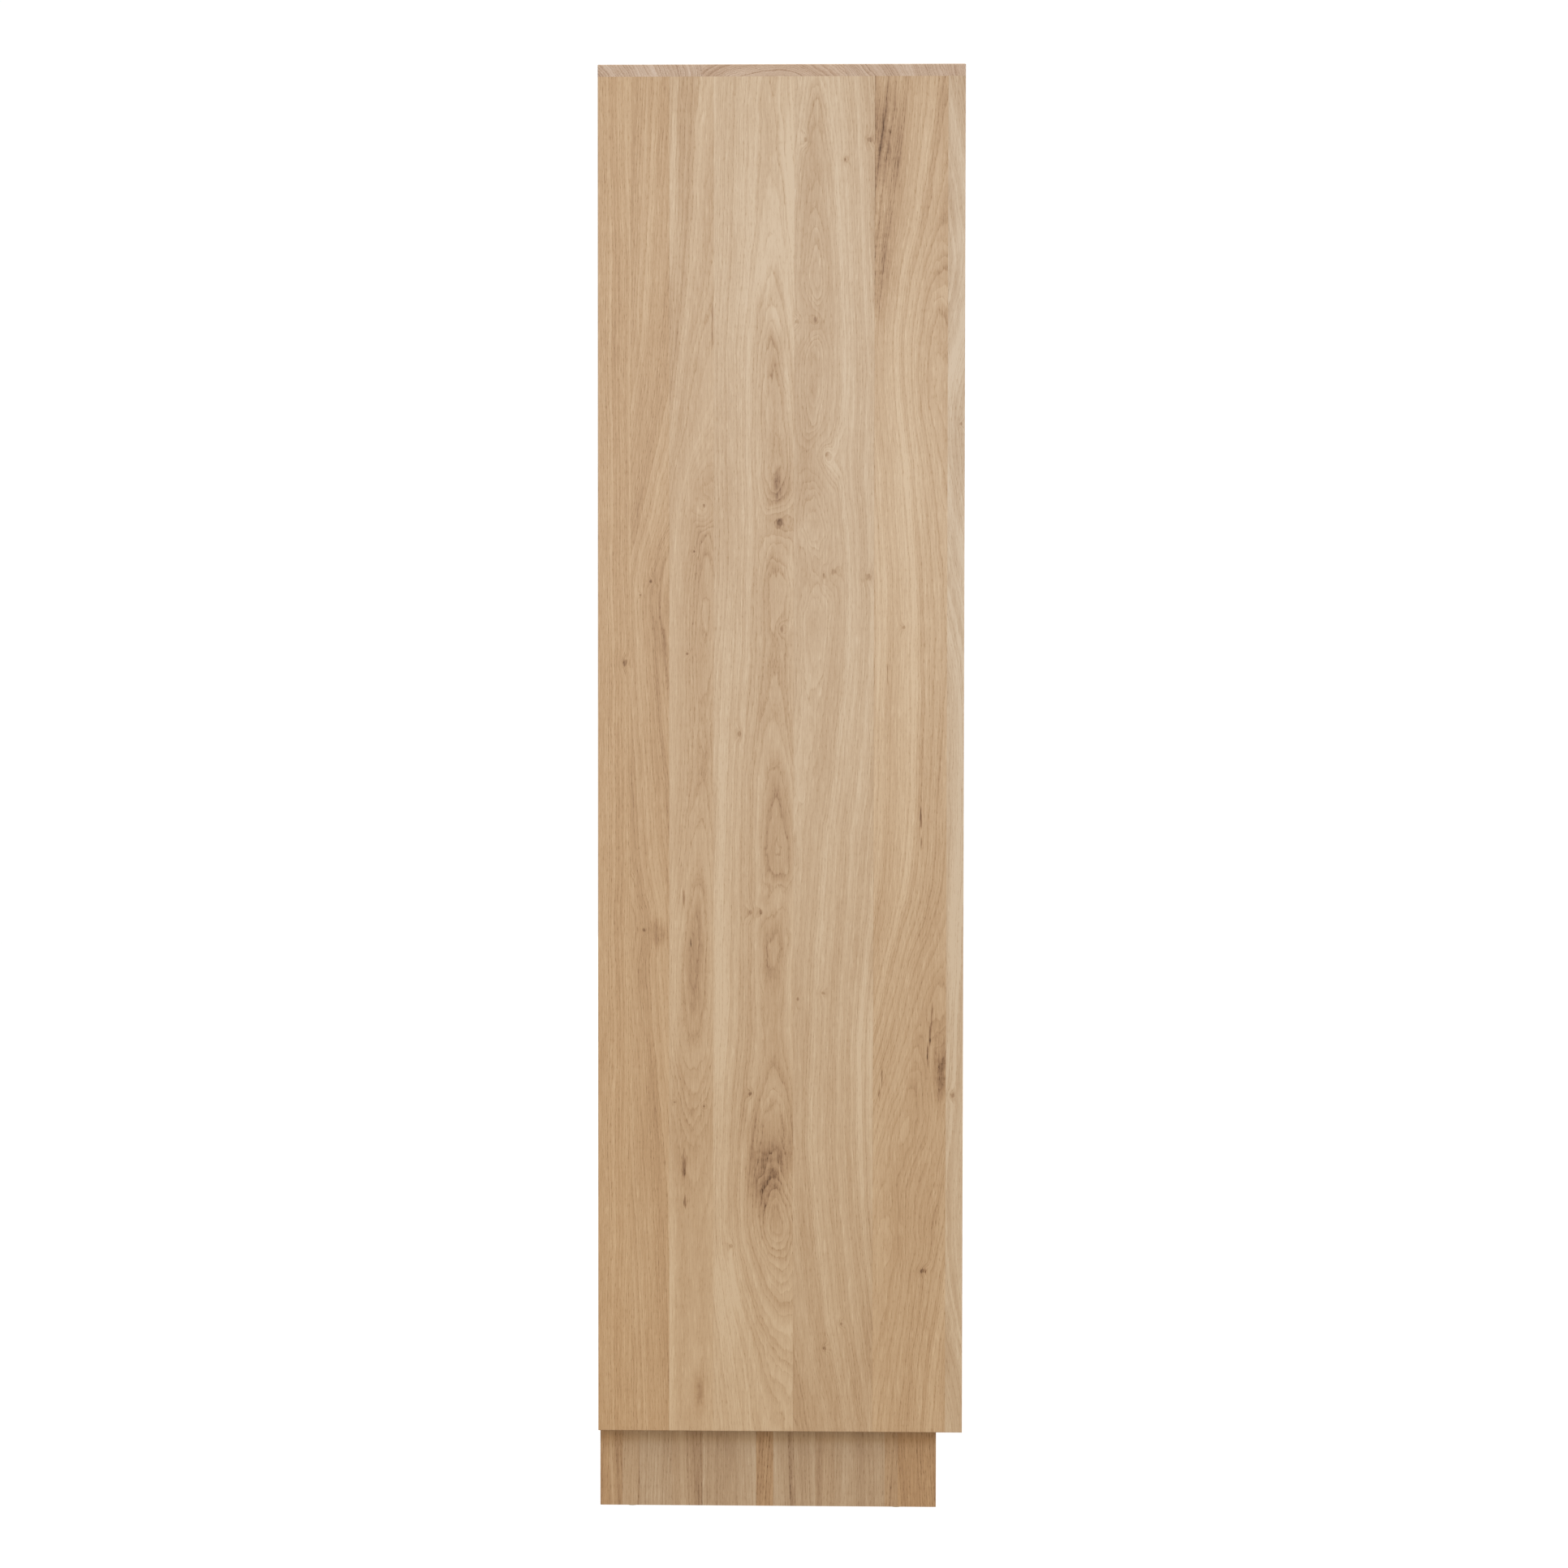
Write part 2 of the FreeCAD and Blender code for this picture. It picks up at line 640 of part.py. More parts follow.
def make_drawer(side_name, side):
    drawer = f"drawer_{side_name}"
    make_runners(side_name, side)
    inner_start = f"({BOX_START} + box_side)"
    inner_width = f"({BOX_WIDTH} - 2*box_side)"
    base_z = f"({BOX_BASE} + base_lift)"
    box_back = f"({DOOR_BACK} + box_depth)"

    base_low = (
        span(side, f"{inner_start} - groove", f"{inner_width} + 2*groove"),
        f"{DOOR_BACK} - groove",
        base_z,
    )
    base_size = (f"{inner_width} + 2*groove", "box_depth + groove", "box_base")
    groove = block(*grown(base_low, base_size), "Groove")
    back_low = (
        span(side, f"{inner_start} - back_housing", f"{inner_width} + 2*back_housing"),
        f"{box_back} - box_side - groove",
        f"{base_z} + box_base",
    )
    back_size = (
        f"{inner_width} + 2*back_housing",
        "box_side",
        "box_height - base_lift - box_base",
    )
    back_seat = block(*grown(back_low, back_size), "BackHousing")

    voids[f"{drawer}_sides"] += [groove, back_seat]
    voids[f"{drawer}_front"].append(groove)
    for share in (0.1, 0.5, 0.9):
        x = f"{side}*({inner_start} + {share}*{inner_width})"
        spot = (x, f"{box_back} - box_side/2 - groove", base_z)
        screw(f"{drawer}_screws", spot, UP, "22", f"{drawer}_base", f"{drawer}_back")

    for start in (BOX_START, f"{inner_start} + {inner_width}"):
        low = (span(side, start, "box_side"), f"{DOOR_BACK} - housing", BOX_BASE)
        size = ("box_side", "box_depth + housing", "box_height")
        body = board_body(drawer + "_side", low, size)
        soften(body, "Chamfer", "arris", ("top", "left"), ("top", "right"))
        voids[f"{drawer}_front"].append(block(*grown(low, size), "SideHousing"))
        members[f"{drawer}_sides"].append(less(body, voids[f"{drawer}_sides"], "GroovedSide"))
    board(f"{drawer}_back", back_low, back_size, ("top", "front"), ("top", "back"))
    board(f"{drawer}_base", base_low, base_size)

    name = f"{drawer}_front"
    low = (span(side, "front_gap/2", FRONT_WIDTH), FRONT, f"{BAY_FLOOR} + front_gap")
    height = "drawer_bay - 2*front_gap"
    body = board_body(name, low, (FRONT_WIDTH, "board", height))
    grip_tools(body, name, (f"{FRONT_WIDTH}/2", height), True, "drawer_grip_length")
    soften(body, "Fillet", "grip_round", ("front",))
    soften(body, "Chamfer", "arris", ("back",))
    finish(name, body)


# ---------------------------------------------------------------- shelves


def make_shelves():
    depth = "overall_depth - shelf_setback - back_board - back_inset - shelf_back_gap"
    width = f"2*({INSIDE} - shelf_side_gap)"
    for index in range(SHELVES):
        under = f"(shelf_first + {index}*shelf_pitch)"
        low = (f"shelf_side_gap - {INSIDE}", f"{FRONT} + shelf_setback", under)
        board(f"shelf_{index + 1}", low, (width, depth, "board"), ("front",))
        for side_name, side in LEFT_RIGHT.items():
            outwards = TOWARDS_X * side
            for y in (f"{FRONT} + peg_front", f"{BACK} - peg_back"):
                centre_z = f"({under} - peg_radius)"
                # Spare holes above and below let the shelf be moved.
                for step in (-2, -1, 0, 1, 2):
                    voids[f"side_panel_{side_name}"].append(
                        rod(
                            (f"{side}*{INSIDE}", y, f"{centre_z} + {step}*peg_pitch"),
                            outwards,
                            "peg_radius",
                            "peg_depth + fit_gap",
                            "PegHole",
                        )
                    )
                peg = rod(
                    (f"{side}*({INSIDE} - peg_reach)", y, centre_z),
                    outwards,
                    "peg_radius - fit_gap",
                    "peg_reach + peg_depth",
                    "Peg",
                )
                collar = rod(
                    (f"{side}*({INSIDE} - collar_plate)", y, centre_z),
                    outwards,
                    "collar_radius",
                    "collar_plate",
                    "Collar",
                )
                members["shelf_pegs"].append(fuse(peg, collar, name="ShelfPeg"))


# ---------------------------------------------------------------- back panels and wall brackets


def make_back():
    over = "1"  # how far a cutting tool runs past the face that it opens
    rebate_depth = f"back_board + back_inset + {over}"
    for side_name, side in LEFT_RIGHT.items():
        voids[f"side_panel_{side_name}"].append(
            block(
                (span(side, INSIDE, "back_lap"), BACK_FACE, f"plinth_height - {over}"),
                ("back_lap", rebate_depth, f"overall_height - plinth_height + {over}"),
                "BackRebate",
            )
        )
    voids["top_panel"].append(
        block(
            (f"-({INSIDE} + back_lap)", BACK_FACE, f"{ROOM_ROOF} - {over}"),
            (f"2*({INSIDE} + back_lap)", rebate_depth, f"back_lap + {over}"),
            "BackRebate",
        )
    )
    half_width = f"({INSIDE} + back_lap - back_gap)"
    joint = f"({ROOM_FLOOR} - board/2)"
    room_height = f"({ROOM_ROOF} + back_lap - back_gap - {joint} - back_gap/2)"
    bay_height = f"({joint} - back_gap/2 - plinth_height - back_gap)"
    screw_y = f"{BACK_FACE} + back_board"
    edge_x = f"({INSIDE} + back_lap/2)"
    upper, lower = "back_panel_upper", "back_panel_lower"

    side_levels = [(upper, f"{joint} + {share}*{room_height}") for share in (0.04, 0.23, 0.42, 0.61, 0.8)]
    side_levels += [(lower, f"plinth_height + {share}*{bay_height}") for share in (0.25, 0.75)]
    for name, z in side_levels:
        for side_name, side in LEFT_RIGHT.items():
            spot = (f"{side}*{edge_x}", screw_y, z)
            screw("back_panel_screws", spot, TOWARDS_Y * -1, "28", name, f"side_panel_{side_name}")
    rail_levels = (
        (upper, "top_panel", f"{ROOM_ROOF} + back_lap/2"),
        (upper, "middle_panel", f"{joint} + back_lap/2"),
        (lower, "middle_panel", f"{joint} - back_lap/2"),
        (lower, "bottom_panel", "plinth_height + board/2"),
    )
    for name, rail, z in rail_levels:
        for share in (-0.9, -0.35, 0.35, 0.9):
            # The screws either side of the joint are offset, so that they don't split the panel.
            shift = "25" if z.endswith("- back_lap/2") else "0"
            spot = (f"{share}*{INSIDE} + {shift}", screw_y, z)
            screw("back_panel_screws", spot, TOWARDS_Y * -1, "28", name, rail)

    make_wall_brackets()
    width = f"2*{half_width}"
    board(upper, (f"-{half_width}", BACK_FACE, f"{joint} + back_gap/2"), (width, "back_board", room_height))
    board(lower, (f"-{half_width}", BACK_FACE, "plinth_height + back_gap"), (width, "back_board", bay_height))


def make_wall_brackets():
    """Steel angles under the top that take the screws into the wall."""
    for side_name, side in LEFT_RIGHT.items():
        name = f"wall_bracket_{side_name}"
        for offset in ("- 10", "+ 10"):
            spot = (f"{side}*bracket_centre {offset}", f"{BACK_FACE} - 18", f"{ROOM_ROOF} - bracket_plate")
            screw("hardware_screws", spot, UP, "16", name, "top_panel")
        anchor_z = f"{ROOM_ROOF} - anchor_drop"
        start = (f"{side}*bracket_centre", f"{BACK_FACE} - bracket_plate - 1", anchor_z)
        voids[name].append(rod(start, TOWARDS_Y, "anchor_radius", "bracket_plate + 2", "AnchorHole"))
        clear_start = (f"{side}*bracket_centre", f"{BACK_FACE} - 0.5", anchor_z)
        voids["back_panel_upper"].append(
            rod(clear_start, TOWARDS_Y, "anchor_clear_radius", "back_board + 1", "AnchorRoom")
        )
        # The angle's section, seen from the side: it is pressed from one strip.
        corners = [
            ("bracket_reach", "0"), ("bracket_reach", "bracket_drop"), ("0", "bracket_drop"),
            ("0", "bracket_drop - bracket_plate"),
            ("bracket_reach - bracket_plate", "bracket_drop - bracket_plate"),
            ("bracket_reach - bracket_plate", "0"),
        ]
        body = profile_body(name, "YZ_Plane", corners, "Pad", Length="bracket_width")
        low = (
            f"{side}*bracket_centre - bracket_width/2",
            f"{BACK_FACE} - bracket_reach",
            f"{ROOM_ROOF} - bracket_drop",
        )
        finish(name, place(body, low))


# ---------------------------------------------------------------- plinth


def make_plinth():
    height = "plinth_height - glide_plate"
    half_width = "(overall_width/2 - plinth_side_inset)"
    front_y, back_y = f"({FRONT} + toe_space)", f"({BACK} - plinth_back_inset)"
    depth = "overall_depth - toe_space - plinth_back_inset"

    glides = [(f"{side}*({half_width} - board/2)", y) for side in (-1, 1)
              for y in (f"{front_y} + 50", f"{back_y} - 40")]
    glides += [("0", f"{front_y} + board/2"), ("0", f"{back_y} - board/2")]
    owners = ["plinth_side_left"] * 2 + ["plinth_side_right"] * 2 + ["plinth_front", "plinth_back"]
    for (x, y), owner in zip(glides, owners):
        corners = [
            ("0", "0"), ("glide_radius", "0"), ("glide_radius", "glide_plate"),
            ("glide_stem_radius", "glide_plate"), ("glide_stem_radius", "glide_plate + glide_stem"),
            ("0", "glide_plate + glide_stem"),
        ]
        glide = profile_body("glide", "XZ_Plane", corners, "Revolution", Angle="360")
        members["plinth_glides"].append(place(glide, (x, y, "0")))
        radius = "glide_stem_radius + fit_gap"
        voids[owner].append(rod((x, y, "glide_plate - 1"), UP, radius, "glide_stem + 1.5", "StemHole"))

    block_z = "plinth_height - block_height"
    for side_name, side in LEFT_RIGHT.items():
        start = f"{half_width} - board - block_width"
        for low_y in (f"{front_y} + board", f"{back_y} - board - block_width"):
            low = (span(side, start, "block_width"), low_y, block_z)
            body = board_body("corner_block", low, ("block_width", "block_width", "block_height"))
            spot = (f"{side}*({start} + block_width/2)", f"{low_y} + block_width/2", block_z)
            screw("plinth_screws", spot, UP, "block_height + 14", "bottom_panel", "block_holes")
            members["plinth_corner_blocks"].append(less(body, voids["block_holes"][-1:], "Block"))

        # The side boards meet the front board in mitres and run past the back board.
        mitre = [("board", "0"), ("board", depth), ("0", depth), ("0", "board")]
        if side < 0:
            mitre = [("0", "0"), ("board", "board"), ("board", depth), ("0", depth)]
        name = f"plinth_side_{side_name}"
        body = profile_body(name, "XY_Plane", mitre, "Pad", Length=height)
        finish(name, place(body, (span(side, f"{half_width} - board", "board"), front_y, "glide_plate")))

    width = "overall_width - plinth_side_inset - plinth_side_inset"
    face = [("0", "0"), (width, "0"), (f"{width} - board", "board"), ("board", "board")]
    body = profile_body("plinth_front", "XY_Plane", face, "Pad", Length=height)
    finish("plinth_front", place(body, (f"-{half_width}", front_y, "glide_plate")))
    low = (f"board - {half_width}", f"{back_y} - board", "glide_plate")
    board("plinth_back", low, (f"{width} - 2*board", "board", height))


# ---------------------------------------------------------------- carcass


def make_carcass():
    lap = block(
        ("-overall_width", f"{FRONT} - 1", f"{ROOM_ROOF} - 1"),
        (f"overall_width - {INSIDE}", "overall_depth + 2", "top_lap + 1"),
        "LeftLap",
    )
    other_lap = block(
        (INSIDE, f"{FRONT} - 1", f"{ROOM_ROOF} - 1"),
        ("overall_width", "overall_depth + 2", "top_lap + 1"),
        "RightLap",
    )
    voids["top_panel"] += [lap, other_lap]
    board(
        "top_panel",
        ("-overall_width/2", FRONT, ROOM_ROOF),
        ("overall_width", "overall_depth", "board"),
        ("top",),
    )
    side_height = "overall_height - plinth_height - board + top_lap"
    for side_name, side in LEFT_RIGHT.items():
        board(
            f"side_panel_{side_name}",
            (span(side, INSIDE, "board"), FRONT, "plinth_height"),
            ("board", "overall_depth", side_height),
            ("front", side_name),
            ("back", side_name),
            ("bottom", side_name),
        )
    panel_size = (f"2*{INSIDE}", "overall_depth - back_board - back_inset", "board")
    board("bottom_panel", (f"-{INSIDE}", FRONT, "plinth_height"), panel_size)
    board("middle_panel", (f"-{INSIDE}", FRONT, BAY_ROOF), panel_size)
    divider_low = ("-board/2", f"{DOOR_BACK} + divider_setback", BAY_FLOOR)
    divider_depth = "overall_depth - board - divider_setback - back_board - back_inset"
    board("drawer_divider", divider_low, ("board", divider_depth, "drawer_bay"))


# ---------------------------------------------------------------- assembly


def check_and_write():
    doc.recompute()
    for item in doc.Objects:
        if {"Invalid", "Error"} & set(item.State):
            raise RuntimeError(f"{item.Label} failed: {item.State}")
    os.makedirs("parts", exist_ok=True)
    for name, item in sorted(nodes.items()):
        if item.Shape.isNull() or not item.Shape.isValid() or not item.Shape.Solids:
            raise RuntimeError(f"{name} has no valid solid")
        item.Shape.exportStep(f"parts/{name}.step")
    print(f"{len(nodes)} nodes, {sum(len(item.Shape.Solids) for item in nodes.values())} solids")


make_dowels()
make_catches()
for name_of_side, sign_of_side in LEFT_RIGHT.items():
    make_door(name_of_side, sign_of_side)
    make_drawer(name_of_side, sign_of_side)
make_shelves()
make_back()
make_plinth()
make_carcass()
close_groups()
check_and_write()
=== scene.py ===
import bisect
import itertools
import json
import math
import random
from collections import namedtuple

import bpy
from mathutils import Euler, Matrix, Vector


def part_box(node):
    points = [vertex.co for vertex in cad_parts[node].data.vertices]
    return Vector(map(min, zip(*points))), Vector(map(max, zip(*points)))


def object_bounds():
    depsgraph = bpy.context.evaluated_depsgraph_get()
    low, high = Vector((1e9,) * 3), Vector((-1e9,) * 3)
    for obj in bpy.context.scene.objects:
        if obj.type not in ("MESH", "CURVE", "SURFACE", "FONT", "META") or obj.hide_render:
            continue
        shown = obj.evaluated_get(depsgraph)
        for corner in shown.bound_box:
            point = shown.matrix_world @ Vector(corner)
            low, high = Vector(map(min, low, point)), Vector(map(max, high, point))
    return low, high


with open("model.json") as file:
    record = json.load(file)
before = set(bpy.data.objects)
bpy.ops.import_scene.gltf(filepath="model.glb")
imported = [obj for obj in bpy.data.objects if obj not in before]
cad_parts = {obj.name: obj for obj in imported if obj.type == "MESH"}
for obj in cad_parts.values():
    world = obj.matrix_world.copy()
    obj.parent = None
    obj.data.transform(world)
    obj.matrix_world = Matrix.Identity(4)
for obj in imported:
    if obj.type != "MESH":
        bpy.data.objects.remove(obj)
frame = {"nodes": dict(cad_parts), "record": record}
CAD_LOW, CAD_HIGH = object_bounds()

NODES = frame["nodes"]
MM = 0.001
# The sockets of a mix node that mixes colours: its share, its two colours and its result.
MIX_SHARE, MIX_ONE, MIX_OTHER, MIX_RESULT = 0, 6, 7, 2

# ---------------------------------------------------------------- node building


class Field:
    """A value that varies over a surface, held as the output socket of a shader node."""

    def __init__(self, socket):
        self.socket = socket
        self.tree = socket.id_data

    def __add__(self, other):
        return calc("ADD", self, other)

    __radd__ = __add__

    def __sub__(self, other):
        return calc("SUBTRACT", self, other)

    def __rsub__(self, other):
        return calc("SUBTRACT", other, self)

    def __mul__(self, other):
        return calc("MULTIPLY", self, other)

    __rmul__ = __mul__

    def __truediv__(self, other):
        return calc("DIVIDE", self, other)

    def __pow__(self, other):
        return calc("POWER", self, other)


def fill(socket, value):
    """Feeds a field to an input socket, or sets the socket's own value."""
    if isinstance(value, Field):
        value.tree.links.new(value.socket, socket)
    else:
        socket.default_value = value


def make(tree, kind, inputs=None, **settings):
    node = tree.nodes.new(kind)
    for name, value in settings.items():
        setattr(node, name, value)
    for name, value in (inputs or {}).items():
        fill(node.inputs[name], value)
    return node


def calc(operation, *terms):
    tree = next(term.tree for term in terms if isinstance(term, Field))
    node = make(tree, "ShaderNodeMath", dict(enumerate(terms)), operation=operation)
    return Field(node.outputs[0])


def root(value):
    return calc("SQRT", value)


def lowest(one, other):
    return calc("MINIMUM", one, other)


def highest(one, other):
    return calc("MAXIMUM", one, other)


def ease(value, start, end):
    """Goes smoothly from 0 where the value is at start to 1 where it is at end."""
    inputs = {"Value": value, "From Min": start, "From Max": end}
    node = make(value.tree, "ShaderNodeMapRange", inputs, interpolation_type="SMOOTHSTEP")
    return Field(node.outputs["Result"])


def vector(x, y, z):
    tree = next(part.tree for part in (x, y, z) if isinstance(part, Field))
    return Field(make(tree, "ShaderNodeCombineXYZ", {0: x, 1: y, 2: z}).outputs[0])


def scaled(place, x, y, z):
    """The place with each of its axes scaled, so that a noise is finer along the larger numbers."""
    node = make(place.tree, "ShaderNodeVectorMath", {0: place, 1: (x, y, z)}, operation="MULTIPLY")
    return Field(node.outputs[0])


def noise(place, detail=0.0, roughness=0.5):
    """Smooth noise around 0, mostly within -0.25 to 0.25, that changes over a distance of about 1."""
    inputs = {"Vector": place, "Scale": 1.0, "Detail": detail, "Roughness": roughness}
    return Field(make(place.tree, "ShaderNodeTexNoise", inputs).outputs[0]) - 0.5


def noise_along(value, detail=0.0):
    inputs = {"W": value, "Scale": 1.0, "Detail": detail}
    node = make(value.tree, "ShaderNodeTexNoise", inputs, noise_dimensions="1D")
    return Field(node.outputs[0]) - 0.5


def random_for(value):
    """A random number from 0 to 1 for each whole number."""
    node = make(value.tree, "ShaderNodeTexWhiteNoise", {"W": value}, noise_dimensions="1D")
    return Field(node.outputs["Value"])


def ramp(value, stops, interpolation="LINEAR"):
    """A colour, or three numbers, read off a ramp of (position, (r, g, b)) stops."""
    node = make(value.tree, "ShaderNodeValToRGB", {"Fac": value})
    node.color_ramp.interpolation = interpolation
    elements = node.color_ramp.elements
    while len(elements) < len(stops):
        elements.new(1.0)
    for element, (position, colour) in zip(elements, stops):
        element.position = position
        element.color = (*colour, 1.0)
    return Field(node.outputs["Color"])


def parts_of(field):
    node = make(field.tree, "ShaderNodeSeparateXYZ", {0: field})
    return [Field(output) for output in node.outputs]


def blend(one, other, share):
    inputs = {MIX_ONE: one, MIX_OTHER: other, MIX_SHARE: share}
    node = make(share.tree, "ShaderNodeMix", inputs, data_type="RGBA", clamp_factor=True)
    return Field(node.outputs[MIX_RESULT])


def tinted(colour, tint):
    inputs = {MIX_SHARE: 1.0, MIX_ONE: colour, MIX_OTHER: tint}
    node = make(colour.tree, "ShaderNodeMix", inputs, data_type="RGBA", blend_type="MULTIPLY")
    return Field(node.outputs[MIX_RESULT])


def new_material(name):
    """A material, its tree, the position in it, and the object-space normal."""
    material = bpy.data.materials.new(name)
    material.use_nodes = True
    tree = material.node_tree
    tree.nodes.clear()
    coordinates = make(tree, "ShaderNodeTexCoord")
    return (
        material,
        tree,
        Field(coordinates.outputs["Object"]),
        Field(coordinates.outputs["Normal"]),
    )


def shade(tree, colour, roughness, height, relief, **constants):
    """Ends a material with a principled shader. The relief is the height's full range in metres."""
    bump = make(tree, "ShaderNodeBump", {"Height": height, "Strength": 1.0, "Distance": relief})
    inputs = {
        "Base Color": colour,
        "Roughness": roughness,
        "Normal": Field(bump.outputs[0]),
    }
    shader = make(tree, "ShaderNodeBsdfPrincipled", inputs)
    for name, value in constants.items():
        shader.inputs[name.replace("_", " ")].default_value = value
    output = make(tree, "ShaderNodeOutputMaterial")
    tree.links.new(shader.outputs[0], output.inputs["Surface"])
    return shader


# ---------------------------------------------------------------- oak

# A stave is one strip of an edge-glued board. Its tone runs from 0, pale, to 1, dark, and its
# warmth from 0, grey, to 1, red. The log's centre lies pith_across from the stave's low edge, and
# pith_depth below the board's face. All lengths are in millimetres.
Stave = namedtuple("Stave", "width tone warmth pith_across pith_depth")

MOST_STAVES = 32  # a ramp holds a stave's number as a share of this
STAVE_GAP = 1000  # mm, how far apart the staves are moved where marks are measured
PITH_REACH = 800 * MM  # the pith places that a ramp can hold run from minus this to this
RING = 3.3 * MM  # the typical width of a growth ring
HEART = 34 * MM, 4 * MM  # the heart's darker wood sets in at the first radius and is full at the second
TAPER = 0.03  # how fast a trunk gets thinner upwards, which points the arches up
PORE_DEPTH = 0.09 * MM
KNOT_SWELL = 5 * MM  # how far the rings bulge round a knot
SWIRL_SWELL = 10 * MM

# The figure's layers of noise: how often each changes in a metre across the stave, down from the face
# and along the grain, then its detail and its roughness.
LAYERS = {
    "waves": ((18, 18, 5), 0.0, 0.5),
    "ripples": ((75, 75, 18), 2.0, 0.6),
    "pores": ((850, 850, 150), 1.0, 0.5),
    "limed": ((620, 620, 45), 1.0, 0.5),
    "fibres": ((480, 480, 24), 2.0, 0.7),
    "streaks": ((140, 140, 6), 2.0, 0.65),
    "bands": ((20, 20, 1.4), 1.0, 0.5),
    "clouds": ((30, 30, 7), 2.0, 0.5),
    "knot_rim": ((400, 400, 200), 0.0, 0.5),
    "swirl_rim": ((40, 40, 25), 1.0, 0.5),
    "mark_rim": ((45, 45, 9), 3.0, 0.6),
    "split_rim": ((600, 600, 60), 1.0, 0.5),
    "mottling": ((110, 110, 130), 3.0, 0.65),
}

# The colours from the palest wood, 0, to the darkest, 1.
PALETTE = [
    (0.0, (0.79, 0.655, 0.495)),
    (0.11, (0.735, 0.588, 0.427)),
    (0.42, (0.60, 0.435, 0.285)),
    (0.64, (0.468, 0.313, 0.197)),
    (0.81, (0.30, 0.185, 0.107)),
    (1.0, (0.11, 0.06, 0.035)),
]
WARMTH_TINTS = [(0.0, (0.95, 1.0, 1.1)), (1.0, (1.05, 0.985, 0.88))]
END_GRAIN_TINTS = [(0.0, (1, 1, 1)), (1.0, (0.98, 1.0, 1.14))]


def layer(name, place):
    fineness, detail, roughness = LAYERS[name]
    return noise(scaled(place, *fineness), detail, roughness)


def packed(length):
    """A pith place as a number from 0 to 1, to go in a ramp."""
    return 0.5 + length / (2 * PITH_REACH)


def unpacked(field):
    return (field - 0.5) * (2 * PITH_REACH)


def stave_ramps(across, staves):
    """What belongs to the stave under each point: pith place, number, tone, warmth and glue line."""
    total = sum(stave.width for stave in staves)
    log_stops, look_stops = [], []
    start = 0
    for index, stave in enumerate(staves):
        position = start / total
        pith = (start + stave.pith_across) * MM
        depth = packed(stave.pith_depth * MM)
        log_stops.append((position, (packed(pith), depth, index / MOST_STAVES)))
        look_stops.append((position, (stave.tone, stave.warmth, position)))
        start += stave.width
    share = across / (total * MM)
    pith_across, pith_depth, number = parts_of(ramp(share, log_stops, "CONSTANT"))
    tone, warmth, edge = parts_of(ramp(share, look_stops, "CONSTANT"))
    glue_line = ease((share - edge) * total, 0.9, 0.2)
    number = number * MOST_STAVES
    return unpacked(pith_across), unpacked(pith_depth), number, tone, warmth, glue_line


def drawn_logs(along, number, staves, logs, length):
    """The pith's depth and place across, and the tone, from the log drawn for each stave.

    A log is a list of (height, pith depth, pith across from the stave's low edge, tone), in mm."""
    chosen = None
    start = 0
    share = along / length
    for index, (stave, log) in enumerate(zip(staves, logs)):
        stops = [
            (height * MM / length, (packed(depth * MM), packed((start + pith) * MM), tone))
            for height, depth, pith, tone in log
        ]
        course = ramp(share, stops, "B_SPLINE")
        here = calc("COMPARE", number, index, 0.5)
        inputs = {0: course, 1: here, 2: (0.0, 0.0, 0.0) if chosen is None else chosen}
        node = make(along.tree, "ShaderNodeVectorMath", inputs, operation="MULTIPLY_ADD")
        chosen = Field(node.outputs[0])
        start += stave.width
    depth, across, tone = parts_of(chosen)
    return unpacked(depth), unpacked(across), tone


def stave_at(across, staves):
    """The number of the stave at a place across the board, in mm."""
    ends = list(itertools.accumulate(stave.width for stave in staves))
    return min(bisect.bisect(ends, across), len(staves) - 1)


def nearest(place, spots, staves):
    """How far each point is from the nearest spot, where 1 is on its rim.

    A spot is its centre across and along, and its half sizes across and along, in millimetres.
    The place has its staves STAVE_GAP apart, so that no spot reaches over a joint."""
    closest = None
    for across, along, half_across, half_along in spots:
        across += stave_at(across, staves) * STAVE_GAP
        scale = (1 / (half_across * MM), 1 / (half_along * MM), 0.0)
        shift = (-across / half_across, -along / half_along, 0.0)
        inputs = {0: place, 1: scale, 2: shift}
        moved = make(place.tree, "ShaderNodeVectorMath", inputs, operation="MULTIPLY_ADD")
        inputs = {0: Field(moved.outputs[0])}
        length = make(place.tree, "ShaderNodeVectorMath", inputs, operation="LENGTH")
        distance = Field(length.outputs["Value"])
        closest = distance if closest is None else lowest(closest, distance)
    return closest


def swollen(radius, spots, place):
    """The radius with the rings bulging round the knots and in the swirls."""
    if "knots" in spots:
        radius = radius + ease(spots["knots"], 4.5, 0.3) ** 2 * KNOT_SWELL
    if "swirls" in spots:
        swirl = spots["swirls"] + layer("swirl_rim", place) * 0.9
        radius = radius + ease(swirl, 1.9, 0.0) * SWIRL_SWELL
    return radius


def growth_rings(radius, shift):
    """The dark early wood of each ring, and slower changes from one group of rings to the next.

    A ring starts with coarse dark pores and fades into dense pale wood."""
    rings = radius / RING + noise_along(radius * 70 + shift) * 2.4
    phase = calc("FRACT", rings)
    strength = random_for(calc("FLOOR", rings) + shift) * 0.9 + 0.35
    early = highest((1 - phase) ** 2, ease(phase, 0.86, 1.0)) * strength
    growth = noise_along(radius * 150 + shift) + noise_along(radius * 45 + shift)
    return early, growth


def inside(spot, place, start, end):
    """0 where the distance to a mark is start or more, to 1 where it is end or less, unevenly."""
    return ease(spot + layer("mark_rim", place) * 1.5, start, end)


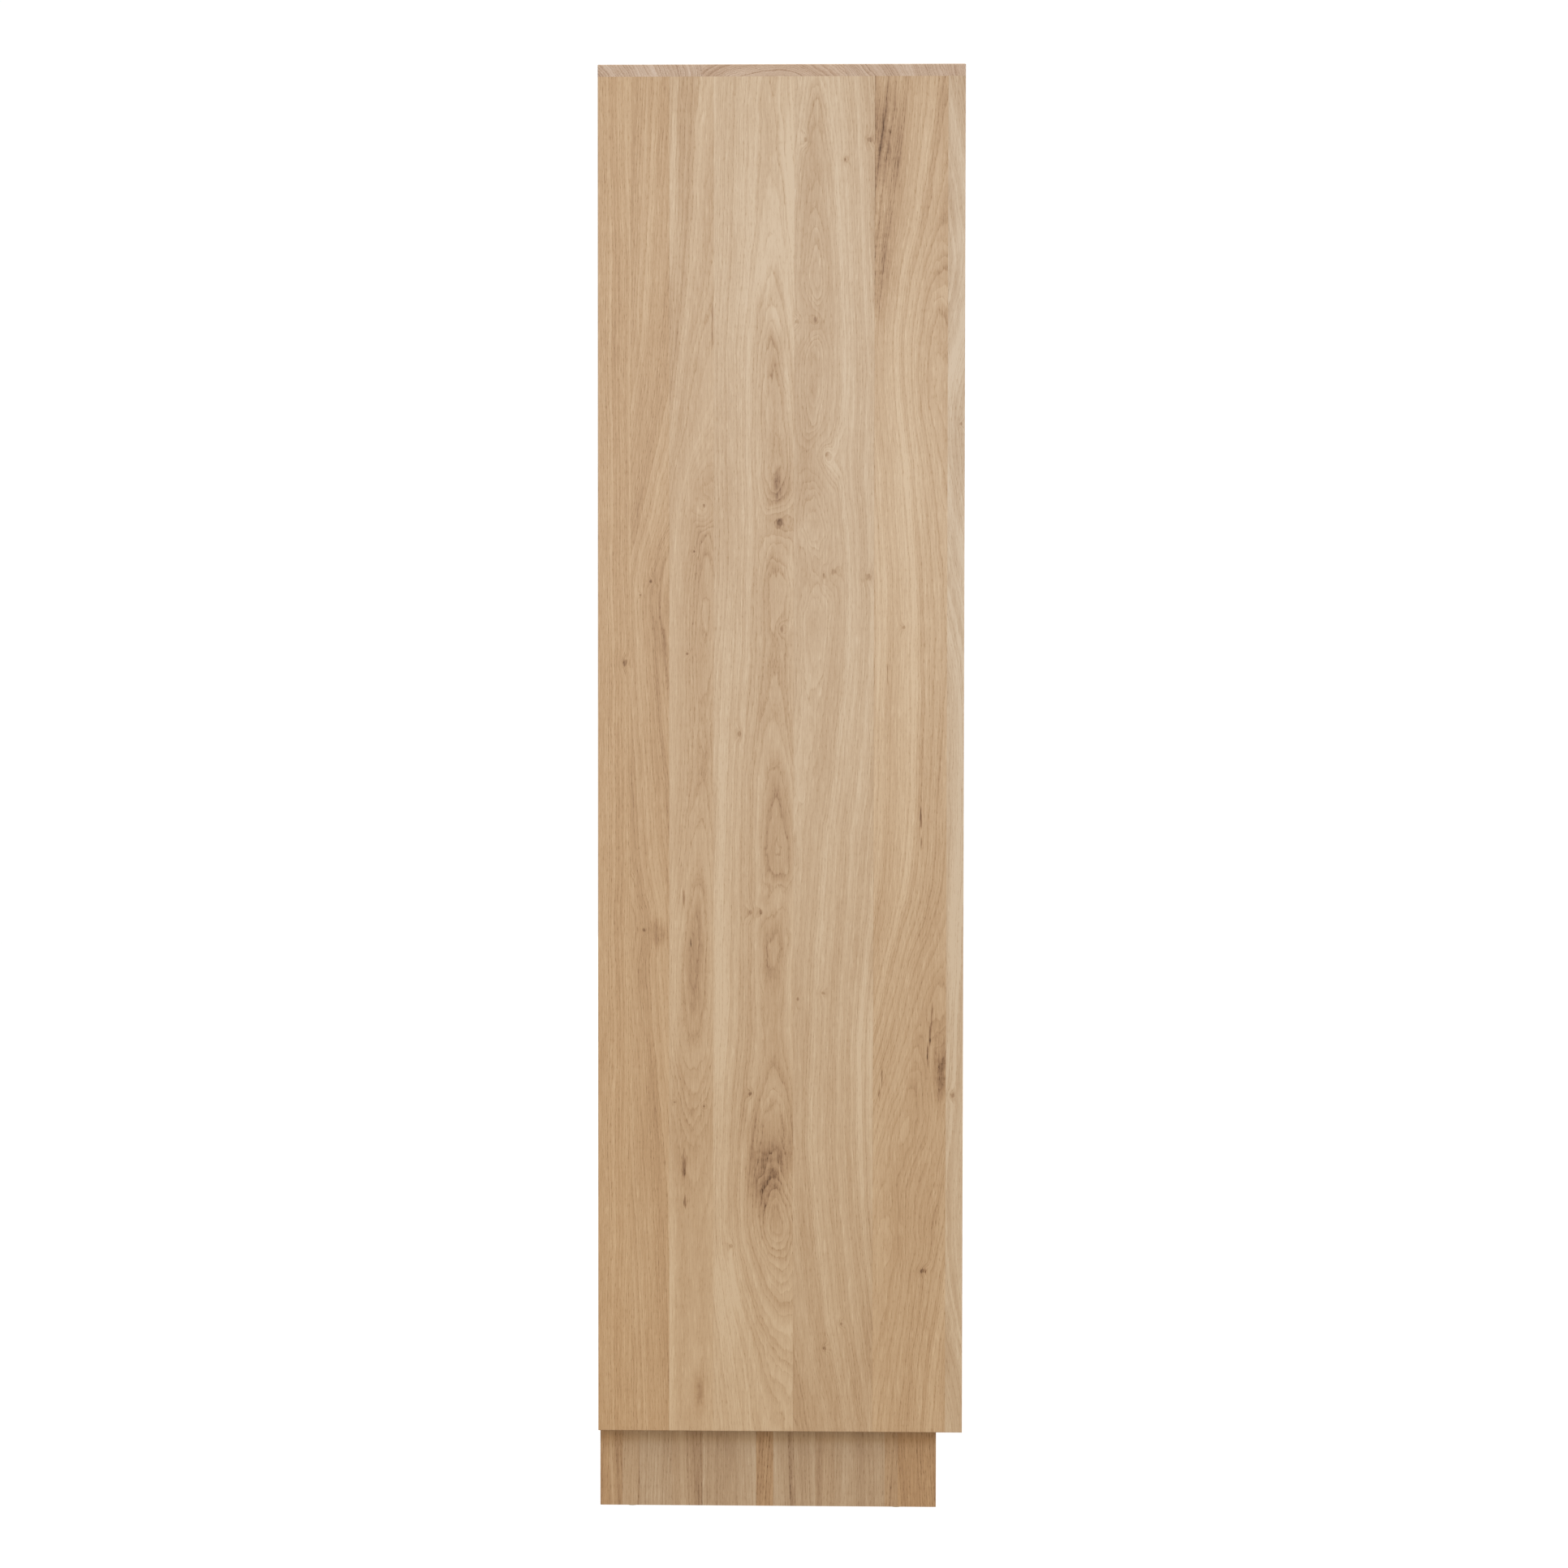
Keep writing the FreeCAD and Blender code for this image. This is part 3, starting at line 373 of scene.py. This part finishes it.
def marked(dark, spots, place, streaks, growth):
    """The darkness of the wood with its marks, from the distance to the nearest of each kind."""
    if "stains" in spots:
        patchy = 0.36 + streaks * 0.2 + growth * 0.12 + layer("mottling", place) * 0.6
        dark = dark + inside(spots["stains"], place, 1.2, 0.0) * patchy
    if "shades" in spots:
        dark = dark + inside(spots["shades"], place, 1.3, 0.1) * 0.1
    if "pales" in spots:
        dark = dark - inside(spots["pales"], place, 1.3, 0.2) * 0.17
    if "splits" in spots:
        split = spots["splits"] + layer("split_rim", place) * 2.2
        dark = dark + ease(split, 1.2, 0.4) * 0.46
    if "knots" in spots:
        swell = ease(spots["knots"], 4.5, 0.3)
        core = ease(spots["knots"] + layer("knot_rim", place) * 0.9, 0.95, 0.35)
        dark = dark + swell**3 * 0.1 + core * 0.34
    return dark


def axis_of(direction):
    """The number, 0 to 2, of the axis in a direction such as +Z."""
    return "XYZ".index(direction[1])


def measured(position, direction, low, high):
    """How far each point lies from the end of the board where the direction starts."""
    axis = axis_of(direction)
    place = parts_of(position)[axis]
    return place - low[axis] if direction[0] == "+" else high[axis] - place


def oak(name, axes, low, high, staves, seed, logs=(), marks=None, wander=1.0):
    """Solid oak, worked out in depth, so that faces, edges and end grain agree.

    axes names the directions across the staves, down from the face and along the grain. logs are
    the staves' own logs, or none for random ones. marks holds lists of knots, swirls, stains, weaker
    shades, pale streaks and splits. wander is how far the grain strays from straight."""
    material, tree, position, normal = new_material(name)
    across, down, along = [measured(position, direction, low, high) for direction in axes]
    grain_axis = axis_of(axes[2])
    pith_across, pith_depth, number, tone, warmth, glue_line = stave_ramps(across, staves)
    shift = number * 7.31 + seed * 3.17  # so that no two staves share their noise

    # Where the pith lies. It wanders, and the board isn't cut parallel to it.
    if logs:
        length = (high - low)[grain_axis]
        pith_depth, pith_across, tone = drawn_logs(along, number, staves, logs, length)
    else:
        slope = (random_for(number + seed) - 0.5) * (0.07 * wander)
        pith_across = pith_across + noise_along(along * 1.6 + shift) * (36 * MM * wander)
        bends = noise_along(along * 1.5 + shift + 40, 1.0) * (70 * MM * wander)
        pith_depth = pith_depth + along * slope + bends
    place = vector(across + shift, down, along)
    waves = layer("waves", place) * (9 * MM * wander)
    ripples = layer("ripples", place) * (5 * MM * wander)
    radius = root((across - pith_across) ** 2 + (pith_depth - down) ** 2) + waves + ripples
    radius = radius + along * TAPER

    flat = vector(across + number * (STAVE_GAP * MM), along, 0.0)
    spots = {kind: nearest(flat, places, staves) for kind, places in (marks or {}).items()}
    radius = swollen(radius, spots, place)
    early, growth = growth_rings(radius, shift)
    heart = ease(radius - along * TAPER, *HEART)

    pore = ease(layer("pores", place), 0.0, 0.17) * (early * 0.8 + 0.4)
    limed = ease(layer("limed", place), 0.02, 0.2)
    fibres = layer("fibres", place)
    streaks = layer("streaks", place)
    bands = layer("bands", place)
    clouds = layer("clouds", place)
    end_grain = ease(calc("ABSOLUTE", parts_of(normal)[grain_axis]), 0.6, 0.9)

    # How dark the wood is: each layer's share of it.
    dark = tone * 0.5 + early * (0.18 + 0.2 * end_grain + 0.1 * heart) + pore * 0.18 + growth * 0.3
    dark = dark + fibres * 0.4 + streaks * 0.27 + bands * 0.34 + clouds * (heart * 0.3 + 0.24)
    dark = dark + glue_line * 0.16 + heart * 0.14 - limed * 0.15
    dark = marked(dark, spots, place, streaks, growth)
    colour = ramp(dark * 0.88, PALETTE)
    colour = tinted(colour, ramp(warmth, WARMTH_TINTS))
    colour = tinted(colour, ramp(end_grain, END_GRAIN_TINTS))

    height = 1 - pore * 0.8 - early * 0.12 + fibres * 0.3
    roughness = 0.52 + pore * 0.2 + early * 0.05 + end_grain * 0.12
    shade(tree, colour, roughness, height, PORE_DEPTH, IOR=1.46)
    return material


# ---------------------------------------------------------------- which board is cut how

# The left side panel, from its back edge. The tones and the piths of its staves are in their logs.
SIDE_STAVES = [
    Stave(width, 0, warmth, 0, 0)
    for width, warmth in (
        (40, 0.76), (48, 0.7), (55, 0.5), (100, 0.42), (100, 0.36), (89, 0.56), (23, 0.22),
    )
]
# One log for each of these staves: height, pith depth, pith across from the stave's low edge, tone.
SIDE_LOGS = [
    [(0, 40, -150, 0.74), (250, 40, -142, 0.72), (800, 34, -126, 0.58), (1685, 40, -100, 0.72)],
    [
        (0, 60, 130, 0.76), (250, 50, 118, 0.66), (500, 40, 96, 0.7), (800, 24, 70, 0.8),
        (1000, 14, 54, 0.8), (1060, 8, 52, 0.8), (1130, 18, 62, 0.82), (1270, 36, 86, 0.84),
        (1400, 44, 90, 0.72), (1685, 50, 84, 0.74),
    ],
    [
        (0, 60, 34, 0.36), (200, 58, 32, 0.5), (300, 52, 30, 0.5), (440, 34, 30, 0.52),
        (560, 18, 32, 0.5), (660, 14, 36, 0.44), (780, 24, 42, 0.5), (900, 22, 44, 0.38),
        (1000, 12, 46, 0.38), (1080, 14, 46, 0.42), (1180, 24, 50, 0.48), (1250, 34, 56, 0.48),
        (1400, 46, 66, 0.46), (1685, 50, 57, 0.6),
    ],
    [
        (0, 70, 98, 0.26), (120, 52, 92, 0.3), (215, 26, 84, 0.42), (270, 8, 82, 0.52),
        (340, 16, 80, 0.6), (420, 30, 76, 0.56), (500, 34, 74, 0.46), (590, 28, 76, 0.44),
        (663, 20, 80, 0.4), (760, 18, 78, 0.48), (880, 28, 76, 0.42), (1000, 28, 78, 0.36),
        (1127, 20, 84, 0.46), (1200, 16, 78, 0.46), (1330, 20, 72, 0.3), (1430, 24, 72, 0.18),
        (1685, 30, 72, 0.16),
    ],
    [
        (0, 30, 0, 0.72), (150, 34, -22, 0.54), (400, 40, -40, 0.38), (750, 36, 4, 0.31),
        (900, 30, 20, 0.28), (1000, 22, 26, 0.3), (1072, 16, 26, 0.34), (1150, 22, 24, 0.38),
        (1200, 26, 24, 0.38), (1250, 20, 24, 0.36), (1310, 10, 26, 0.36), (1400, 10, 27, 0.36),
        (1500, 14, 27, 0.32), (1600, 20, 27, 0.38), (1685, 28, 27, 0.42),
    ],
    [
        (0, 36, -26, 0.6), (200, 24, 10, 0.54), (321, 18, 28, 0.52), (450, 20, 56, 0.52),
        (600, 30, 96, 0.48), (700, 36, 110, 0.42), (1000, 36, 112, 0.28), (1200, 22, 96, 0.26),
        (1300, 14, 82, 0.34), (1400, 20, 80, 0.44), (1500, 30, 86, 0.54), (1685, 40, 104, 0.7),
    ],
    [
        (0, 40, -20, 0.34), (200, 40, -80, 0.34), (400, 40, -60, 0.34), (800, 36, -20, 0.08),
        (1000, 36, -20, 0.18), (1250, 34, -100, 0.06), (1400, 24, -30, 0.22), (1500, 24, -20, 0.4),
        (1685, 40, -60, 0.55),
    ],
]
# Its marks: their places from its back edge and its foot, and their half sizes, in mm.
SIDE_MARKS = {
    "knots": [
        (34, 961, 5, 6), (66, 1062, 3, 3), (53, 1045, 2, 2), (57, 628, 3, 3), (132, 1156, 2, 3),
        (120, 1099, 2, 2), (111, 972, 2, 2), (96, 413, 2, 2), (132, 408, 2, 2), (229, 1003, 3, 5),
        (176, 873, 3, 5), (190, 650, 3, 5), (203, 650, 3, 5), (166, 233, 3, 4), (190, 424, 3, 3),
        (226, 1135, 7, 8), (257, 1607, 3, 5), (306, 1582, 2, 4), (337, 1607, 4, 5),
        (247, 1383, 3, 4), (270, 1385, 3, 5), (284, 1219, 3, 5), (281, 1069, 2, 5),
        (293, 1074, 4, 6), (336, 1068, 5, 6), (281, 550, 3, 3), (249, 542, 2, 4), (304, 136, 2, 3),
        (283, 105, 3, 3), (380, 1005, 3, 3), (406, 203, 5, 4), (442, 423, 4, 4), (450, 1257, 3, 3),
    ],
    "swirls": [
        (228, 1130, 22, 44), (268, 1075, 22, 34), (222, 668, 16, 34), (226, 330, 22, 46),
        (264, 1385, 18, 30), (388, 300, 26, 50), (50, 640, 22, 40), (416, 470, 18, 44),
        (132, 1150, 10, 16), (280, 1215, 22, 26),
    ],
    "stains": [
        (346, 1600, 40, 100), (344, 1480, 34, 110), (216, 340, 34, 74), (126, 53, 12, 36),
        (430, 455, 16, 70), (78, 626, 12, 20), (222, 1180, 10, 26),
    ],
    "shades": [
        (260, 1560, 34, 170), (222, 680, 22, 330), (256, 480, 22, 280), (404, 500, 26, 340),
        (118, 440, 34, 240), (212, 340, 40, 110), (412, 800, 24, 150), (262, 1200, 24, 120),
        (220, 760, 26, 90), (72, 830, 18, 130), (445, 1130, 12, 90), (76, 986, 16, 40),
        (262, 1600, 30, 90), (396, 330, 30, 120), (264, 470, 24, 160),
    ],
    "pales": [
        (93, 565, 6, 170), (152, 565, 11, 480), (238, 1058, 7, 50), (222, 668, 9, 20),
        (444, 646, 9, 160), (262, 1119, 16, 30), (447, 1484, 7, 40), (224, 1390, 10, 26),
        (95, 1540, 8, 170), (238, 1563, 7, 120), (160, 182, 22, 90), (430, 1415, 8, 22),
        (210, 1440, 9, 40), (445, 1330, 8, 40), (208, 1300, 5, 60), (235, 1290, 5, 60),
        (92, 150, 5, 210), (325, 420, 16, 260),
    ],
    "splits": [
        (402, 767, 1.8, 13), (402, 738, 1.5, 9), (416, 525, 1.3, 14), (414, 500, 1.5, 15),
        (411, 475, 1.3, 14), (354, 445, 1.2, 14), (351, 426, 1.3, 12), (107, 668, 1.6, 15),
        (116, 612, 1.4, 7), (108, 333, 3.2, 19), (109, 287, 2.2, 8), (142, 1383, 0.9, 34),
        (360, 945, 0.8, 16),
    ],
}

# The left side of the plinth, of short upright staves, and the top board, both from the back edge.
PLINTH_PITH_DEPTH = 90
PLINTH_STAVES = [
    Stave(width, tone, warmth, pith, PLINTH_PITH_DEPTH)
    for width, tone, warmth, pith in (
        (11, 1.0, 0.75, 120), (16, 1.05, 0.5, -90), (22, 0.84, 0.2, 130), (41, 0.72, 0.0, 120),
        (37, 1.02, 0.1, -80), (43, 0.92, 0.0, 140), (25, 0.58, 0.0, -120), (22, 1.22, 0.6, 100),
        (52, 0.82, 0.0, -110), (25, 1.0, 0.1, 120), (18, 0.76, 0.0, 90), (45, 0.84, 0.0, -120),
        (17, 1.08, 0.4, 110), (48, 1.16, 0.75, -100),
    )
]
TOP_STAVES = [
    Stave(128, 0.5, 0.4, -60, 70),
    Stave(177, 0.45, 0.5, 80, 110),
    Stave(150, 0.52, 0.4, -50, 80),
]


SIDE_CUT = 150  # mm, from a side-cut stave's low edge to its pith, one way or the other
KNOT_AREA = 160000  # mm2 of board for each knot


def random_staves(total, typical, tones, rng):
    """Staves of about the typical width, in mm, that fill a board.

    Half of them are flat-sawn, with the pith behind them, and half are cut beside the pith."""
    count = max(1, round(total / typical))
    shares = [rng.uniform(0.6, 1.4) for _ in range(count)]
    staves = []
    for share in shares:
        width = total * share / sum(shares)
        flat_sawn = rng.random() < 0.5
        pith_across = width * rng.uniform(0.2, 0.8) if flat_sawn else rng.choice((-1, 1)) * SIDE_CUT
        staves.append(
            Stave(
                width,
                rng.uniform(*tones),
                rng.uniform(0.25, 0.7),
                pith_across,
                rng.uniform(12, 34) if flat_sawn else rng.uniform(40, 70),
            )
        )
    return staves


# Which way each board's staves lie: across them, down from the face, and along the grain.
BOARD_AXES = {
    "side_panel_left": ("-Y", "+X", "+Z"),
    "side_panel_right": ("+Y", "-X", "+Z"),
    "top_panel": ("-Y", "-Z", "+X"),
    "bottom_panel": ("-Y", "-Z", "+X"),
    "middle_panel": ("-Y", "-Z", "+X"),
    "drawer_divider": ("+Z", "+X", "+Y"),
    "plinth_front": ("+X", "+Y", "+Z"),
    "plinth_back": ("+X", "-Y", "+Z"),
    "plinth_side_left": ("-Y", "+X", "+Z"),
    "plinth_side_right": ("+Y", "-X", "+Z"),
    "plinth_corner_blocks": ("+X", "+Y", "+Z"),
    "drawer_left_front": ("+Z", "+Y", "+X"),
    "drawer_right_front": ("+Z", "+Y", "+X"),
    "drawer_left_back": ("+Z", "+Y", "+X"),
    "drawer_right_back": ("+Z", "+Y", "+X"),
    "drawer_left_sides": ("+Z", "+X", "+Y"),
    "drawer_right_sides": ("+Z", "+X", "+Y"),
    "door_left_panel": ("+X", "+Y", "+Z"),
    "door_right_panel": ("+X", "+Y", "+Z"),
    "door_left_battens": ("+Z", "-Y", "+X"),
    "door_right_battens": ("+Z", "-Y", "+X"),
    "shelf_1": ("+Y", "-Z", "+X"),
    "shelf_2": ("+Y", "-Z", "+X"),
    "shelf_3": ("+Y", "-Z", "+X"),
    "shelf_4": ("+Y", "-Z", "+X"),
    "carcass_dowels": ("+Y", "+Z", "+X"),
    "back_panel_upper": ("+X", "-Y", "+Z"),
    "back_panel_lower": ("+X", "-Y", "+Z"),
    "drawer_left_base": ("+X", "-Z", "+Y"),
    "drawer_right_base": ("+X", "-Z", "+Y"),
}


def random_knots(width, length, rng):
    """A few small knots, in mm."""
    knots = []
    for _ in range(round(width * length / KNOT_AREA)):
        size = rng.uniform(1.6, 4.5)
        knots.append((rng.uniform(0, width), rng.uniform(0, length), size, size * 1.4))
    return knots


def coat(node, material):
    materials = NODES[node].data.materials
    materials.clear()
    materials.append(material)


def make_board(node):
    low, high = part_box(node)
    axes = BOARD_AXES[node]
    rng = random.Random(node)
    plinth = node.startswith("plinth")
    extra = {"wander": 0.25} if plinth else {}
    if node == "side_panel_left":
        staves = SIDE_STAVES
        extra = {"logs": SIDE_LOGS, "marks": SIDE_MARKS}
    elif node == "top_panel":
        staves = TOP_STAVES
    elif node == "plinth_side_left":
        staves = PLINTH_STAVES
    else:
        width = (high - low)[axis_of(axes[0])] / MM
        length = (high - low)[axis_of(axes[2])] / MM
        typical, tones = (34, (0.65, 0.95)) if plinth else (82, (0.2, 0.75))
        staves = random_staves(width, typical, tones, rng)
        knots = random_knots(width, length, rng)
        extra["marks"] = {"knots": knots} if knots else {}
    coat(node, oak(f"oak_{node}", axes, low, high, staves, rng.uniform(1, 9), **extra))


for board_node in BOARD_AXES:
    make_board(board_node)

# ---------------------------------------------------------------- metal, nylon and plastic


def plain(name, pale, dark, roughness, metallic, grain, relief):
    """Metal or plastic with a mottled surface. The grain is how fine its marks are on each axis."""
    material, tree, position, _ = new_material(name)
    marks = noise(scaled(position, *grain), 3.0, 0.6)
    blotches = noise(scaled(position, 60, 60, 60), 2.0)
    colour = blend(pale, dark, ease(marks + blotches, -0.35, 0.35))
    rough = roughness + marks * 0.25 + blotches * 0.15
    shade(tree, colour, rough, marks, relief, Metallic=metallic)
    return material


STEEL = plain(
    "zinc_plated_steel", (0.66, 0.67, 0.68, 1), (0.46, 0.47, 0.49, 1), 0.34, 1.0,
    (1400, 90, 1400), 0.01 * MM,
)
BRASS = plain(
    "brushed_brass", (0.78, 0.60, 0.33, 1), (0.56, 0.40, 0.19, 1), 0.3, 1.0,
    (90, 1800, 1800), 0.01 * MM,
)
NYLON = plain(
    "white_nylon", (0.80, 0.79, 0.75, 1), (0.70, 0.69, 0.64, 1), 0.45, 0.0,
    (900, 900, 900), 0.03 * MM,
)
PLASTIC = plain(
    "brown_plastic", (0.13, 0.085, 0.055, 1), (0.09, 0.06, 0.04, 1), 0.5, 0.0,
    (2200, 2200, 2200), 0.05 * MM,
)
FERRITE = plain(
    "sintered_magnet", (0.11, 0.11, 0.115, 1), (0.05, 0.05, 0.055, 1), 0.55, 0.3,
    (1600, 1600, 1600), 0.03 * MM,
)
FINISHES = {
    "steel": STEEL,
    "brass": BRASS,
    "nylon": NYLON,
    "catch_plastic": PLASTIC,
    "magnet": FERRITE,
}
for part in frame["record"]["subparts"]:
    if part["material_slot"] in FINISHES:
        coat(part["node"], FINISHES[part["material_slot"]])

# ---------------------------------------------------------------- studio

scene = bpy.context.scene
scene.view_settings.view_transform = "Standard"

# The light from all round, from straight below, 0, past the horizon, 0.5, to straight above, 1.
SKY = [
    (0.0, (0.345, 0.275, 0.18)),
    (0.45, (0.345, 0.275, 0.18)),
    (0.55, (0.85, 0.67, 0.45)),
    (0.75, (1.09, 0.88, 0.61)),
    (1.0, (1.14, 1.08, 0.96)),
]
# Four high softboxes face the cabinet, so that their light fades downwards: the direction of each
# from the cabinet in degrees, and its distance in metres.
SIDE_BOXES = {"left": (180, 2.1), "front": (270, 1.9), "right": (0, 2.1), "back": (90, 1.9)}
SIDE_BOX_HEIGHT = 1.6
SIDE_BOX_AIM = (0, 0, 1.5)
SIDE_BOX_SIZE = (1.8, 0.8)
SIDE_BOX_WATTS = 9.5
OVERHEAD_BOX_PLACE = (0, 0, 3.6)
OVERHEAD_BOX_SIZE = (2.2, 1.6)
OVERHEAD_BOX_WATTS = 6
COOL = (0.5, 0.69, 0.965)
WHITE = (1, 1, 1, 1)
BACKDROP_RADIUS = 30
FLOOR_RADIUS = 9
FLOOR_LEVEL = -0.0005  # just clear of the glides


def make_sky():
    """Even soft light from all round, a little warm from below."""
    world = bpy.data.worlds.new("studio")
    world.use_nodes = True
    tree = world.node_tree
    direction = Field(make(tree, "ShaderNodeTexCoord").outputs["Generated"])
    up = parts_of(direction)[2]
    fill(tree.nodes["Background"].inputs["Color"], ramp(up * 0.5 + 0.5, SKY))
    tree.nodes["Background"].inputs["Strength"].default_value = 1.0
    scene.world = world


def make_backdrop():
    """A white shell round the studio that only the camera sees."""
    bpy.ops.mesh.primitive_uv_sphere_add(segments=48, ring_count=24, radius=BACKDROP_RADIUS)
    shell = bpy.context.object
    shell.name = "backdrop"
    material = bpy.data.materials.new("white_backdrop")
    material.use_nodes = True
    tree = material.node_tree
    tree.nodes.clear()
    glow = make(tree, "ShaderNodeEmission", {"Color": WHITE, "Strength": 1.02})
    output = make(tree, "ShaderNodeOutputMaterial")
    tree.links.new(glow.outputs[0], output.inputs["Surface"])
    shell.data.materials.append(material)
    shell.visible_diffuse = False
    shell.visible_glossy = False
    shell.visible_transmission = False
    shell.visible_shadow = False


def softbox(name, place, target, size, power):
    light = bpy.data.lights.new(name, "AREA")
    light.shape = "RECTANGLE"
    light.size, light.size_y = size
    light.energy = power
    light.color = COOL
    lamp = bpy.data.objects.new(name, light)
    scene.collection.objects.link(lamp)
    lamp.location = place
    lamp.rotation_mode = "QUATERNION"
    lamp.rotation_quaternion = (Vector(target) - Vector(place)).to_track_quat("-Z", "Y")
    lamp.visible_camera = False


def make_floor():
    """A pale floor that glows a little under white and reflects the rest, to match the backdrop."""
    bpy.ops.mesh.primitive_circle_add(
        vertices=96, radius=FLOOR_RADIUS, fill_type="NGON", location=(0, 0, FLOOR_LEVEL)
    )
    floor = bpy.context.object
    floor.name = "floor"
    material, tree, position, _ = new_material("pale_floor")
    speckle = noise(scaled(position, 30, 30, 30), 2.0)
    colour = blend((0.13, 0.13, 0.13, 1), (0.11, 0.11, 0.11, 1), ease(speckle, -0.3, 0.3))
    shader = shade(tree, colour, 0.8 + speckle * 0.1, speckle, 0.05 * MM, Emission_Strength=0.98)
    shader.inputs["Emission Color"].default_value = WHITE
    floor.data.materials.append(material)
    floor.visible_diffuse = False


make_sky()
make_backdrop()
for name, (degrees, distance) in SIDE_BOXES.items():
    angle = math.radians(degrees)
    place = (distance * math.cos(angle), distance * math.sin(angle), SIDE_BOX_HEIGHT)
    softbox(name, place, SIDE_BOX_AIM, SIDE_BOX_SIZE, SIDE_BOX_WATTS)
softbox("overhead", OVERHEAD_BOX_PLACE, (0, 0, 0), OVERHEAD_BOX_SIZE, OVERHEAD_BOX_WATTS)
make_floor()

# ---------------------------------------------------------------- camera: square-on to the left side

VIEW_DISTANCE = 4.5  # from the left side panel
VIEW_HEIGHT = 1.063
VIEW_FORWARD = 0.119  # how far the camera stands forward of the cabinet's middle
VIEW_YAW, VIEW_PITCH, VIEW_ROLL = 1.462, 1.941, 0.073  # degrees
LENS = 83.18

camera_data = bpy.data.cameras.new("camera")
camera_data.sensor_width = 36
camera_data.lens = LENS
camera = bpy.data.objects.new("camera", camera_data)
scene.collection.objects.link(camera)
camera.location = (CAD_LOW.x - VIEW_DISTANCE, -VIEW_FORWARD, VIEW_HEIGHT)
aim = Euler((math.radians(90 - VIEW_PITCH), 0, math.radians(VIEW_YAW - 90))).to_matrix()
camera.rotation_euler = (aim @ Matrix.Rotation(math.radians(VIEW_ROLL), 3, "Z")).to_euler()
scene.camera = camera
